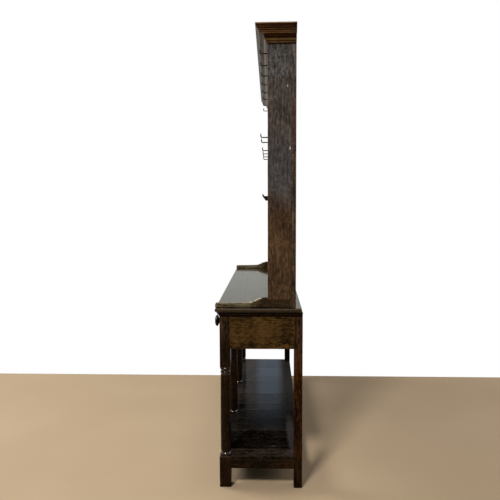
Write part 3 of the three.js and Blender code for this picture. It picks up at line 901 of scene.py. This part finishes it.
def potboard_plan(low, high):
    legs = [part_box(f"front_leg_{i}") for i in (1, 2, 3, 4)]
    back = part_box("back_leg_left")[0].y - CLEAR
    inner_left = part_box("back_leg_left")[1].x + CLEAR
    inner_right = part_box("back_leg_right")[0].x - CLEAR
    notch = legs[0][1].y + CLEAR
    points = [(low.x, notch)]
    for (_, leg), (next_leg, _) in zip(legs, legs[1:]):
        west, east = leg.x + CLEAR, next_leg.x - CLEAR
        points += [(west, notch), (west, low.y), (east, low.y), (east, notch)]
    points += [(high.x, notch), (high.x, back), (inner_right, back), (inner_right, high.y)]
    points += [(inner_left, high.y), (inner_left, back), (low.x, back)]
    return [(x, y, low.z) for x, y in points]


def board_tones(number):
    """Each board has its own ground, which on the far boards is greyer and paints part of their sheen.
    The streaks of the boards in the near leg's shade are faint, as painted shade.
    """
    shade, _, light, worn = TONES["potboard_oak"]
    if number in FAINT:
        light = tint(12 + 3 * number, 9 + 3 * number, 6 + 3 * number)
    return shade, BOARD_BASES_AND_SHEEN[number - 1], light, worn


low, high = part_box("potboard")
whole = pull(outline("plan", potboard_plan(low, high)), (0, 0, high.z - low.z))
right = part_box("front_leg_4")[1].x
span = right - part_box("front_leg_1")[0].x
dice = random.Random(5)
for number, (start, end) in enumerate(zip(JOINT_SHARES, JOINT_SHARES[1:]), 1):
    east, west = right - start * span, right - end * span
    piece = twin(whole, f"oak_potboard_{number}")
    if start:
        slice_off(piece, (east, 0, 0), (1, 0, 0))
    if end < 1:
        slice_off(piece, (west, 0, 0), (-1, 0, 0))
    ease(piece, 0.0016, lambda edge: is_sharp(edge) and middle(edge).z > high.z - 0.001, 2)
    piece.location.z = dice.uniform(-TILT, 0.0)
    leave(piece)
    box = ((west, low.y, low.z), (east, high.y, high.z))
    look = {"shine": SHINES[number - 1], "lines": 3.0, "mottle": 2.2, "changes": [FLECKS, PAINTED_REFLECTION], "dusty": DUST}
    name = f"oak potboard {number}"
    dress(piece, "potboard", oak(name, "Y", board_tones(number), 60 + number, box, polish=0.15, wear=0.4, **look))
bpy.data.objects.remove(whole)
print("potboard boards", len(JOINT_SHARES) - 1)

# %% [markdown]
# ## Dresser board and the moulding under its edge
# The board has a round nose in front and squared ends. Its section is drawn and pulled along the dresser. The
# moulding below is one section too, pulled past the corners and cut there at 45 degrees, as a joiner does.

# %% Dresser board
NOSE = 0.008
SHADOW_LINE_AT, DARK_FROM, BOARD_END = 0.7860, 0.7895, 0.7925


def quarter(centre, radius, start, end, steps=5):
    angles = [math.radians(start + (end - start) * share) for share in shares(steps)]
    return [(centre[0] + radius * math.cos(angle), centre[1] + radius * math.sin(angle)) for angle in angles]


def section(name, points, low_x, high_x):
    """A section drawn in Y and Z and pulled along X."""
    return pull(outline(name, [(low_x, y, z) for y, z in points]), (high_x - low_x, 0, 0))


low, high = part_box("dresser_board")
points = [
    (high.y, low.z),
    (high.y, high.z),
    *quarter((low.y + NOSE, high.z - NOSE), NOSE, 90, 180),
    *quarter((low.y + NOSE, low.z + NOSE), NOSE, 180, 270),
]
top_board = section("oak_dresser_board", points, low.x, high.x)
ease(top_board, 0.0025, lambda edge: is_sharp(edge) and not along(edge, "X"))
ease(top_board, 0.001, lambda edge: is_sharp(edge) and along(edge, "X"), 2)
END_WEAR_AND_SHADOW = []
for sign in (-1, 1):
    dark_end = turning(TONES["black_oak"], "X", sign * DARK_FROM, sign * BOARD_END)
    pale_arris = marked(sign * BOARD_END, 0.004, (0.0, 0.8330, 0.4, 0.0035, (100, 86, 66), 0.5))
    # Painted shadow: a dark line along the top of the board under the outer edge of the rack foot.
    shadow_line = marked(sign * SHADOW_LINE_AT, 0.009, (0.0, 0.8380, 0.4, 0.0025, (12, 8, 4), 0.9))
    END_WEAR_AND_SHADOW += [dark_end, pale_arris, shadow_line]
look = {"polish": 0.1, "wear": 0.7, "shine": 0.46, "relief": 0.06, "changes": END_WEAR_AND_SHADOW}
dress_oak(top_board, "dresser_board", "X", 71, **look)
print("board", [round(v, 3) for v in top_board.dimensions])

# %% Moulding round the front and both ends
OVERRUN = 0.01
EDGE = 0.0198


def moulding(prefix, profile, seed, **look):
    """profile: how far out and how far up from the foot, for a moulding round the front and the ends."""
    low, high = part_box(f"{prefix}_front")
    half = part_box("rack_side_right")[1].x
    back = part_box(f"{prefix}_right")[1].y
    reach = max(out for out, _ in profile) + OVERRUN
    points = [(high.y - out, low.z + up) for out, up in profile]
    run = section(f"oak_{prefix}_front", points, -half - reach, half + reach)
    for sign in (1, -1):
        slice_off(run, (sign * half, high.y + CLEAR, 0), (sign, 1, 0))
    dress_oak(run, f"{prefix}_front", "X", seed, angle=28, **look)
    for number, (side, sign) in enumerate((("left", -1), ("right", 1)), 1):
        points = [(sign * (half + CLEAR + out), back, low.z + up) for out, up in profile]
        end = pull(outline(f"oak_{prefix}_{side}", points), (0, high.y + CLEAR - reach - back, 0))
        slice_off(end, (sign * half, high.y + 2 * CLEAR, 0), (-sign, -1, 0))
        dress_oak(end, f"{prefix}_{side}", "Y", seed + number, angle=28, **look)


def curve(start, end, level_first=False, steps=6):
    """A quarter curve between two points of a section, which leaves the start upright, or level."""
    points = []
    for angle in [math.pi / 2 * share for share in shares(steps)]:
        across, upward = 1 - math.cos(angle), math.sin(angle)
        if level_first:
            across, upward = upward, across
        points.append((start[0] + (end[0] - start[0]) * across, start[1] + (end[1] - start[1]) * upward))
    return points


EDGE_PROFILE = [
    (0, 0), (0.002, 0), *curve((0.002, 0.0015), (0.0062, 0.0078)), (0.0086, 0.0081), (0.0086, 0.0104),
    *curve((0.0074, 0.0107), (0.0104, 0.0158)), (0.0116, 0.0162), (0.0116, 0.0188), (0.011, EDGE), (0, EDGE),
]
# Low shares darken the hollows for dirt and as painted shade; high shares are worn arrises.
EDGE_SHARES = [
    (0.0, 0.2), (0.05, 0.05), (0.38, 0.05), (0.41, 0.7), (0.52, 0.7), (0.56, 0.05), (0.78, 0.05), (0.84, 0.3),
    (1.0, 0.2),
]
low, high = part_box("edge_moulding_front")
EDGE_BANDS = banded(low.z, high.z, EDGE_SHARES, TONES["black_oak"])
moulding("edge_moulding", EDGE_PROFILE, 75, tones="black_oak", wear=0, shine=0.05, changes=[EDGE_BANDS])
print("edge moulding", len(EDGE_PROFILE), "points")

# %% [markdown]
# ## Drawers
# Each drawer is a front, two sides, a back and a bottom, with a turned knob. The front shows fine grain that
# runs along it, and the inner boards are dry and paler. The knob is a mushroom shape, spun on its own axis.

# %% Knob
KNOB_PROFILE = [
    (0, -0.018), (0.0063, -0.018), (0.0063, 0.0004), (0.0118, 0.0004), (0.013, 0.0014), (0.013, 0.0034),
    (0.0118, 0.0046), (0.0098, 0.0064), (0.0088, 0.010), (0.0088, 0.016), (0.0096, 0.0215), (0.0125, 0.0262),
    (0.0185, 0.0295), (0.024, 0.032), (0.0271, 0.0346), (0.028, 0.0376), (0.0271, 0.0406), (0.0245, 0.0436),
    (0.0195, 0.0461), (0.0125, 0.0475), (0.006, 0.048), (0, 0.048),
]
for number in (1, 2, 3):
    node = f"drawer_{number}_knob"
    low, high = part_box(node)
    centre = ((low.x + high.x) / 2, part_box(f"drawer_{number}_front")[0].y, (low.z + high.z) / 2)
    knob = turned(f"oak_{node}", KNOB_PROFILE, centre, axis="Y", steps=36)
    dress_oak(knob, node, "Y", 80 + number, body=f"drawer_{number}", angle=50, wear=0, coat=0.5)
print("knobs 3, faces", len(knob.data.polygons))

# %% Drawer boards
DRAWER_RUNS = {"front": "X", "side_left": "Y", "side_right": "Y", "back": "X", "bottom": "Y"}
FRONT_LOOK = {"polish": 0.3, "coat": 0.12, "figure": 1.3}
for number in (1, 2, 3):
    for seed, (part, run) in enumerate(DRAWER_RUNS.items(), 90 + 6 * number):
        node = f"drawer_{number}_{part}"
        if part == "front":
            plank(node, run, seed, 7, 0.0003, 0.0022, body=f"drawer_{number}", **FRONT_LOOK)
        else:
            frame["nodes"][node].material_slots[0].material = oak_of(node, run, seed, polish=0.62, wear=0.4)
print("drawers 3")

# %% [markdown]
# ## Plate rack
# The rack stands on two shaped feet, low in front and rising in an ogee to the side boards. The feet's outline
# is drawn from curves and pulled to the thickness of the side.

# %% Rack feet
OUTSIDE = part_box("rack_side_right")[1].x
SIDE_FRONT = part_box("rack_side_right")[0].y
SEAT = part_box("rack_side_right")[0].z - CLEAR
FOOT_REACH, FOOT_ROUND = 0.005, 0.007
FOOT_LOW, OGEE_LOW, CREST = 0.0205, 0.0225, 0.047
OGEE_LENGTH, CREST_LENGTH = 0.080, 0.014
# Painted highlights: pale glints along the top of each foot's ogee, where its polished edge catches the light.
GLINT_TINT = (178, 168, 146)
FOOT_GLINTS = marked(
    OUTSIDE, 0.016,
    (-0.022, 0.8635, 0.014, 0.0035, GLINT_TINT, 0.6),
    (-0.003, 0.8712, 0.010, 0.0045, GLINT_TINT, 0.6),
    (0.007, 0.8760, 0.010, 0.0045, GLINT_TINT, 0.65),
    (0.018, 0.8808, 0.011, 0.004, GLINT_TINT, 0.5),
)
FOOT_WEAR = turning(TONES["worn_foot"], "Y", 0.05, -0.06, ragged=0.05)
# Painted shadow: the lowest few millimetres of the feet are darkened where they stand on the board.
FOOT_SHADOW_BAND = turning(TONES["black_oak"], "Z", 0.8435, 0.8395)


def foot_outline(low, high, rise_steps=6, ogee_steps=18):
    """A round front, a slow rise, an ogee, a short level crest, and the seat of the side board behind it."""
    front = low.y - FOOT_REACH + FOOT_ROUND
    ogee_start = SIDE_FRONT - CREST_LENGTH - OGEE_LENGTH
    points = [(low.y - FOOT_REACH, low.z), *quarter((front, low.z + FOOT_LOW - FOOT_ROUND), FOOT_ROUND, 180, 90)]
    for share in shares(rise_steps)[1:-1]:
        height = FOOT_LOW + (OGEE_LOW - FOOT_LOW) * share**2
        points.append((front + (ogee_start - front) * share, low.z + height))
    for share in shares(ogee_steps):
        height = OGEE_LOW + (CREST - OGEE_LOW) * (1 - math.cos(math.pi * share)) / 2
        points.append((ogee_start + OGEE_LENGTH * share, low.z + height))
    points += [(SIDE_FRONT - CLEAR, low.z + CREST), (SIDE_FRONT - CLEAR, SEAT), (high.y, SEAT), (high.y, low.z)]
    return points


look = {"tones": "dark_foot", "polish": 0.24, "coat": 0.6, "wear": 0.9, "changes": [FOOT_WEAR, FOOT_GLINTS, FOOT_SHADOW_BAND]}
for side, seed in (("left", 111), ("right", 112)):
    node = f"rack_foot_{side}"
    low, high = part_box(node)
    foot = section(f"oak_{node}", foot_outline(low, high), low.x, high.x)
    ease(foot, 0.0022, lambda edge: is_sharp(edge) and not along(edge, "X"))
    dress_oak(foot, node, "Y", seed, angle=30, **look)
print("rack feet", len(foot.data.polygons), "faces")

# %% Rack sides
# Higher up, the rack's oak turns grey: partly dry wood, and partly a painted sheen for the light that its upper parts
# mirror.
DRYING_AND_PAINTED_SHEEN = [
    turning(TONES["grey_painted_sheen"], "Z", 1.26, 1.40, ragged=0.35),
    turning(TONES["dry_oak"], "Z", 1.50, 1.66, ragged=0.35),
    turning(TONES["grey_sheen_top"], "Z", 1.844, 1.849),
]
SPECKS = clouded(tints((8, 7, 6), (20, 18, 16), (40, 36, 32)), 120.0, 0.52, 0.6, share=0.6, above=1.846)
SIDE_MARKS = marked(
    OUTSIDE, 0.01,
    (0.1411, 1.810, 0.004, 0.006, (150, 142, 132), 0.8),
    (0.1533, 1.543, 0.003, 0.009, (176, 168, 158), 0.9),
    (0.0563, 1.9575, 0.005, 0.006, (6, 5, 4), 1.0),
    (0.0562, 1.9277, 0.004, 0.004, (6, 5, 4), 1.0),
    (0.086, 1.892, 0.005, 0.007, (14, 12, 11), 0.9),
    (0.062, 1.881, 0.006, 0.005, (14, 12, 11), 0.9),
    (0.158, 1.209, 0.004, 0.012, (10, 7, 5), 0.8),
)
LOOK = {"polish": 0.36, "wear": 0.35, "shine": 0.15, "fine": 0.75, "lines": 0.6, "figure": 0.45, "mottle": 1.05}
for side, seed in (("left", 115), ("right", 116)):
    plank(f"rack_side_{side}", "Z", seed, 21, 0.0005, 0.002, changes=[*DRYING_AND_PAINTED_SHEEN, SPECKS, SIDE_MARKS], **LOOK)
print("rack sides 2")

# %% Back boards
RED_MARK = marked(OUTSIDE, 0.012, (0.167, 1.65, 0.012, 0.13, (72, 42, 36), 0.45))
SLOW_DRYING = turning(TONES["dry_oak"], "Z", 0.9, 1.9, ragged=0.4)
BACK_BOARDS = 7
low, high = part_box("rack_back_boards")
width = (high.x - low.x) / BACK_BOARDS
for number in range(BACK_BOARDS):
    west = low.x + number * width
    box = ((west, low.y, low.z), (west + width, high.y, high.z))
    piece = board(f"oak_back_board_{number + 1}", *box)
    ease(piece, 0.0026, segments=2)
    name = f"oak back board {number + 1}"
    look = {"polish": 0.42, "wear": 0.3, "changes": [SLOW_DRYING, RED_MARK]}
    dress(piece, "rack_back_boards", oak(name, "Z", TONES["rack_oak"], 120 + number, box, **look))
print("back boards", BACK_BOARDS)

# %% Shelves, frieze and top
INNER_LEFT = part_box("rack_side_left")[1].x
INNER_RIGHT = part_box("rack_side_right")[0].x
SHELF = 0.020
PAST_HOOKS = 0.03
GROOVE_BACK = 0.038
GROOVE_ROUND, GROOVE_HALF = 0.0052, 0.0055


def shelf_section(top, back):
    """A shelf with a plate groove in its top."""
    middle_y = back - GROOVE_BACK
    groove = [(middle_y + GROOVE_HALF, top), *quarter((middle_y, top), GROOVE_ROUND, 0, -180, 6)]
    groove.append((middle_y - GROOVE_HALF, top))
    return [(SIDE_FRONT, top - SHELF), (back, top - SHELF), (back, top), *groove, (SIDE_FRONT, top)]


for number in (1, 2, 3):
    node = f"rack_shelf_{number}"
    solid = frame["nodes"][node].data
    top = max(v.co.z for v in solid.vertices if v.co.y > SIDE_FRONT + PAST_HOOKS)
    shelf = section(f"oak_{node}", shelf_section(top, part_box("rack_side_right")[1].y), INNER_LEFT, INNER_RIGHT)
    ease(shelf, 0.0018, lambda edge: is_sharp(edge) and along(edge, "X") and middle(edge).y < SIDE_FRONT + 0.001)
    dress_oak(shelf, node, "X", 130 + number, polish=0.42, wear=0.4, changes=DRYING_AND_PAINTED_SHEEN[:2])
low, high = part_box("frieze")
box = ((low.x, SIDE_FRONT, low.z), tuple(high))
piece = board("oak_frieze", *box)
wander(piece, "X", 15, 0.0004, 134)
ease(piece, 0.0018)
dress(piece, "frieze", oak("oak frieze", "X", TONES["dry_oak"], 134, box, polish=0.36, wear=0.4, shine=0.3))
plank("rack_top", "X", 135, 15, 0.0004, 0.0015, polish=0.5, wear=0.3)
print("shelves 3, frieze, top")

# %% [markdown]
# ## Cornice
# From its foot the cornice is built up of two beads, a hollow, a level soffit, a fascia with a fine bead, a
# second hollow and a fillet. The worn arrises of such a moulding show paler than its hollows, which are
# darkened for dust and as painted shade.

# %% Cornice
CORNICE = 0.072
CORNICE_PROFILE = [
    (0, 0), (0.0036, 0), *bead(0.0008, 0.0050, 0.0045, 0.0077, 6), (0.0057, 0.0068), (0.0057, 0.0100),
    (0.0098, 0.0106), *bead(0.0112, 0.0086, 0.0105, 0.0149, 6), (0.0116, 0.0204), (0.0126, 0.0214),
    *curve((0.0134, 0.0222), (0.0206, 0.0322)), (0.0212, 0.0326), (0.0360, 0.0327), (0.0368, 0.0333),
    (0.0370, 0.0366), (0.0362, 0.0370), (0.0362, 0.0390), *bead(0.0394, 0.0040, 0.0366, 0.0380, 4),
    (0.0366, 0.0440), (0.0366, 0.0458), (0.0392, 0.0462), (0.0406, 0.0486), (0.0412, 0.0502), (0.0402, 0.0508),
    *curve((0.0412, 0.0512), (0.0484, 0.0646), True, 7), (0.0498, 0.0652), (0.0498, 0.0668), (0.0520, 0.0670),
    (0.0520, CORNICE), (0, CORNICE),
]
# Low shares darken the hollows for dirt and as painted shade; high shares are worn arrises.
CORNICE_SHARES = [
    (0.0, 0.6), (0.05, 0.8), (0.09, 0.5), (0.14, 0.8), (0.18, 0.85), (0.22, 1.0), (0.25, 1.0), (0.3, 0.6),
    (0.35, 0.45), (0.42, 0.4), (0.447, 0.2), (0.458, 1.0), (0.48, 0.5), (0.51, 0.3), (0.54, 0.3), (0.57, 0.85),
    (0.59, 0.5), (0.62, 0.25), (0.65, 0.35), (0.68, 0.85), (0.7, 0.6), (0.73, 0.5), (0.79, 0.45), (0.86, 0.15),
    (0.9, 0.45), (0.93, 0.6), (0.96, 0.9), (0.985, 0.9), (0.998, 0.5),
]
cornice_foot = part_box("cornice_front")[0].z
CORNICE_BANDS = banded(cornice_foot, cornice_foot + CORNICE, CORNICE_SHARES, TONES["cornice_oak"])
moulding("cornice", CORNICE_PROFILE, 140, polish=0.3, coat=0.1, wear=0, changes=[CORNICE_BANDS])
print("cornice", len(CORNICE_PROFILE), "points")

# %% [markdown]
# ## Hooks
# Iron wire was driven into the wood and bent up to a point. A round section is pulled out of the wood, spun
# a quarter turn to make the bend, and pulled on to a thin tip. The jug hooks on the frieze and the top
# shelf are longer than the cup hooks below.

# %% Iron
EMBED = 0.006
TIP_SHARE = 0.45


def iron():
    finish = Finish("blackened iron")
    place = finish.node("ShaderNodeTexCoord", out="Object")
    scale = finish.cloud(place, 260.0, 3.0, 0.6)
    rust = finish.step(finish.cloud(place, 60.0, 2.0), 0.5, 0.68)
    colour = finish.mix(scale, tint(8, 7, 7), tint(30, 27, 25))
    colour = finish.mix(rust * 0.6, colour, tint(52, 28, 15))
    finish.set(Base_Color=colour, Roughness=scale * 0.25 + 0.32, Metallic=0.4, Specular_IOR_Level=0.2)
    finish.set(Normal=finish.bump(scale, 0.4, 0.0004))
    return finish.material


def hook(name, place, wire, reach, rise, bend):
    x, y, z = place
    rest()
    start, upright = (x, y + EMBED, z), (math.pi / 2, 0, 0)
    bpy.ops.mesh.primitive_circle_add(vertices=10, radius=wire / 2, fill_type="NGON", location=start, rotation=upright)
    piece = leave(named(name))
    edit_all(piece)
    extrude((0, -EMBED - reach + bend, 0))
    bpy.ops.mesh.spin(steps=6, angle=math.pi / 2, center=(x, y - reach + bend, z + bend), axis=(1, 0, 0))
    for length in (rise - bend - wire, wire):
        extrude((0, 0, length))
    bpy.ops.transform.resize(value=(TIP_SHARE, TIP_SHARE, 1))
    close_up()
    return piece


IRON = iron()
HOOKS = 8
SPACING = 0.1346 * (INNER_RIGHT - INNER_LEFT)
JUG = {"wire": 0.0055, "reach": 0.034, "rise": 0.020, "bend": 0.007}
CUP = {"wire": 0.006, "reach": 0.022, "rise": 0.013, "bend": 0.006}
ROWS = [
    ("frieze", JUG, range(HOOKS), 0.036),
    ("rack_shelf_1", JUG, (0, 1, 2, 3, 5, 6), 0.010),
    ("rack_shelf_2", CUP, range(HOOKS), 0.010),
]
for row, kind, places, height in ROWS:
    first = hook(f"hook_{row}_1", (0, SIDE_FRONT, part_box(row)[0].z + height), **kind)
    for place in places:
        piece = twin(first, f"hook_{row}_{place + 1}", ((place - (HOOKS - 1) / 2) * SPACING, 0, 0))
        dress(piece, row, IRON)
    bpy.data.objects.remove(first)
print("hooks", sum(len(places) for _, _, places, _ in ROWS))
